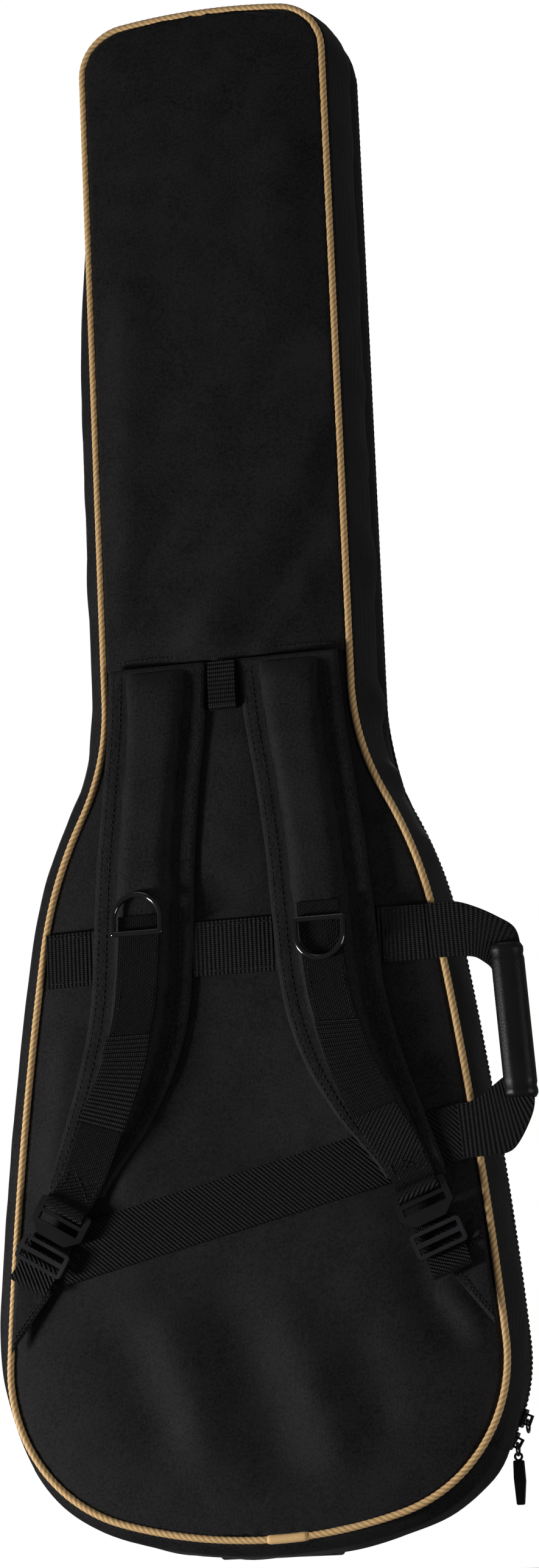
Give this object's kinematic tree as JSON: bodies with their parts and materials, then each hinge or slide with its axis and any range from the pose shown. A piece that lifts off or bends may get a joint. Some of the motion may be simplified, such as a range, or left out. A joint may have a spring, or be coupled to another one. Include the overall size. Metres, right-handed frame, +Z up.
{
  "type": "padded gig bag",
  "caption": "Padded soft case for an electric guitar, with a zipped lid, padded shoulder straps, side handle, hang loop and pockets.",
  "frame": {"origin": "middle of the hang loop's gap, on the bag's centre line, where a hook or hand holds the bag up", "axes": "+Z up along the neck, +X to the right seen from the strap side, -Y out of the strap side, +Y out of the pocket side"},
  "size_m": [0.3854, 0.1455, 1.097],
  "materials": {
    "shell_nylon": "matte woven nylon",
    "webbing_nylon": "ribbed woven webbing",
    "piping_tan": "twisted cord piping",
    "piping_black": "twisted cord piping, black",
    "foam_grey": "closed cell foam",
    "lining_grey": "brushed plush lining",
    "strap_mesh": "padded strap cloth",
    "grip_leather": "smooth stitched leatherette",
    "zip_tape": "woven zip tape",
    "zip_coil": "nylon coil",
    "slider_metal": "black painted metal",
    "ring_metal": "glossy black coated wire",
    "buckle_plastic": "moulded acetal",
    "guard_rubber": "moulded rubber"
  },
  "bodies": {
    "shell": {"back_lower_panel": "shell_nylon", "back_upper_panel": "shell_nylon", "back_foam": "foam_grey", "back_lining": "lining_grey", "back_piping": "piping_tan", "piping_splice_cover": "piping_tan", "gusset_skin": "shell_nylon", "gusset_foam": "foam_grey", "gusset_lining": "lining_grey", "bottom_gusset_skin": "shell_nylon", "bottom_gusset_foam": "foam_grey", "bottom_guard": "guard_rubber", "zip_tape_back": "zip_tape", "zip_teeth_back": "zip_coil", "upper_webbing_band": "webbing_nylon", "lower_webbing_band": "webbing_nylon", "hang_loop": "webbing_nylon", "anchor_patch_left": "shell_nylon", "anchor_patch_right": "shell_nylon", "neck_rest": "lining_grey", "neck_strap": "webbing_nylon", "end_cushion": "foam_grey"},
    "lid": {"front_panel": "shell_nylon", "front_foam": "foam_grey", "front_lining": "lining_grey", "front_piping": "piping_black", "lid_gusset_skin": "shell_nylon", "lid_gusset_foam": "foam_grey", "zip_tape_front": "zip_tape", "zip_teeth_front": "zip_coil", "body_pocket": "shell_nylon", "body_pocket_zip": "zip_coil", "neck_pocket": "shell_nylon", "neck_pocket_zip": "zip_coil"},
    "slider_upper": {"zip_slider_upper": "slider_metal"},
    "slider_lower": {"zip_slider_lower": "slider_metal"},
    "ring_upper": {"zip_ring_upper": "ring_metal"},
    "ring_lower": {"zip_ring_lower": "ring_metal"},
    "pull_tab": {"zip_pull_tab": "grip_leather"},
    "handle": {"handle_grip": "grip_leather", "handle_webbing": "webbing_nylon"},
    "body_slider": {"body_pocket_slider": "slider_metal"},
    "body_pull": {"body_pocket_pull": "grip_leather"},
    "neck_slider": {"neck_pocket_slider": "slider_metal"},
    "neck_pull": {"neck_pocket_pull": "grip_leather"},
    "strap_left": {"strap_base_left": "strap_mesh", "strap_pad_left": "strap_mesh", "strap_webbing_left": "webbing_nylon", "lower_webbing_left": "webbing_nylon"},
    "ring_left": {"d_ring_left": "ring_metal"},
    "lock_left": {"ladder_lock_left": "buckle_plastic"},
    "slide_left": {"webbing_slide_left": "buckle_plastic"},
    "strap_right": {"strap_base_right": "strap_mesh", "strap_pad_right": "strap_mesh", "strap_webbing_right": "webbing_nylon", "lower_webbing_right": "webbing_nylon"},
    "ring_right": {"d_ring_right": "ring_metal"},
    "lock_right": {"ladder_lock_right": "buckle_plastic"},
    "slide_right": {"webbing_slide_right": "buckle_plastic"}
  },
  "joints": [
    {"name": "lid_fold", "type": "hinge", "parent": "shell", "child": "lid", "pos_m": [-0.188, 0.0722, -0.046], "axis": [0, 0, 1], "range_deg": [0, 160]},
    {"name": "upper_slider_travel", "type": "hinge", "parent": "shell", "child": "slider_upper", "pos_m": [0.0671, 0.0722, -0.4687], "axis": [0, -1, 0], "range_deg": [0, 26]},
    {"name": "lower_slider_travel", "type": "hinge", "parent": "shell", "child": "slider_lower", "pos_m": [0.0671, 0.0722, -0.4687], "axis": [0, -1, 0], "range_deg": [-3.5, 0]},
    {"name": "upper_ring_swing", "type": "hinge", "parent": "slider_upper", "child": "ring_upper", "pos_m": [0.17334, 0.0722, -0.5138], "axis": [0, 1, 0], "range_deg": [-60, 30]},
    {"name": "lower_ring_swing", "type": "hinge", "parent": "slider_lower", "child": "ring_lower", "pos_m": [0.16551, 0.0722, -0.52901], "axis": [0, 1, 0], "range_deg": [-50, 15]},
    {"name": "pull_tab_swing", "type": "hinge", "parent": "ring_lower", "child": "pull_tab", "pos_m": [0.16551, 0.0722, -0.53741], "axis": [0, 1, 0], "range_deg": [-70, 20]},
    {"name": "handle_swing", "type": "hinge", "parent": "shell", "child": "handle", "pos_m": [0.1505, 0.0041, -0.182], "axis": [0.1073, 0, -0.9942], "range_deg": [-50, 110]},
    {"name": "body_slider_travel", "type": "slide", "parent": "lid", "child": "body_slider", "axis": [-1, 0, 0], "range_m": [0, 0.16]},
    {"name": "body_pull_swing", "type": "hinge", "parent": "body_slider", "child": "body_pull", "pos_m": [0.08, 0.1257, -0.19], "axis": [1, 0, 0], "range_deg": [0, 28]},
    {"name": "neck_slider_travel", "type": "slide", "parent": "lid", "child": "neck_slider", "axis": [-1, 0, 0], "range_m": [0, 0.076]},
    {"name": "neck_pull_swing", "type": "hinge", "parent": "neck_slider", "child": "neck_pull", "pos_m": [0.038, 0.1257, 0.382], "axis": [1, 0, 0], "range_deg": [0, 28]},
    {"name": "strap_lift_left", "type": "hinge", "parent": "shell", "child": "strap_left", "pos_m": [-0.047, 0.0037, 0.018], "axis": [-1, 0, 0], "range_deg": [0, 8]},
    {"name": "d_ring_swing_left", "type": "hinge", "parent": "strap_left", "child": "ring_left", "pos_m": [-0.065, -0.0144, -0.1715], "axis": [-1, 0, 0], "range_deg": [-170, 0]},
    {"name": "lock_tilt_left", "type": "hinge", "parent": "strap_left", "child": "lock_left", "pos_m": [-0.12533, -0.0042, -0.35757], "axis": [-0.8572, 0, 0.515], "range_deg": [0, 14]},
    {"name": "slide_travel_left", "type": "slide", "parent": "strap_left", "child": "slide_left", "axis": [-0.515, 0, -0.8572], "range_m": [0, 0.007]},
    {"name": "strap_lift_right", "type": "hinge", "parent": "shell", "child": "strap_right", "pos_m": [0.047, 0.0037, 0.018], "axis": [-1, 0, 0], "range_deg": [0, 8]},
    {"name": "d_ring_swing_right", "type": "hinge", "parent": "strap_right", "child": "ring_right", "pos_m": [0.065, -0.0144, -0.1715], "axis": [-1, 0, 0], "range_deg": [0, 166]},
    {"name": "lock_tilt_right", "type": "hinge", "parent": "strap_right", "child": "lock_right", "pos_m": [0.12306, -0.0042, -0.35873], "axis": [-0.9336, 0, -0.3584], "range_deg": [0, 14]},
    {"name": "slide_travel_right", "type": "slide", "parent": "strap_right", "child": "slide_right", "axis": [0.3584, 0, -0.9336], "range_m": [0, 0.007]}
  ]
}
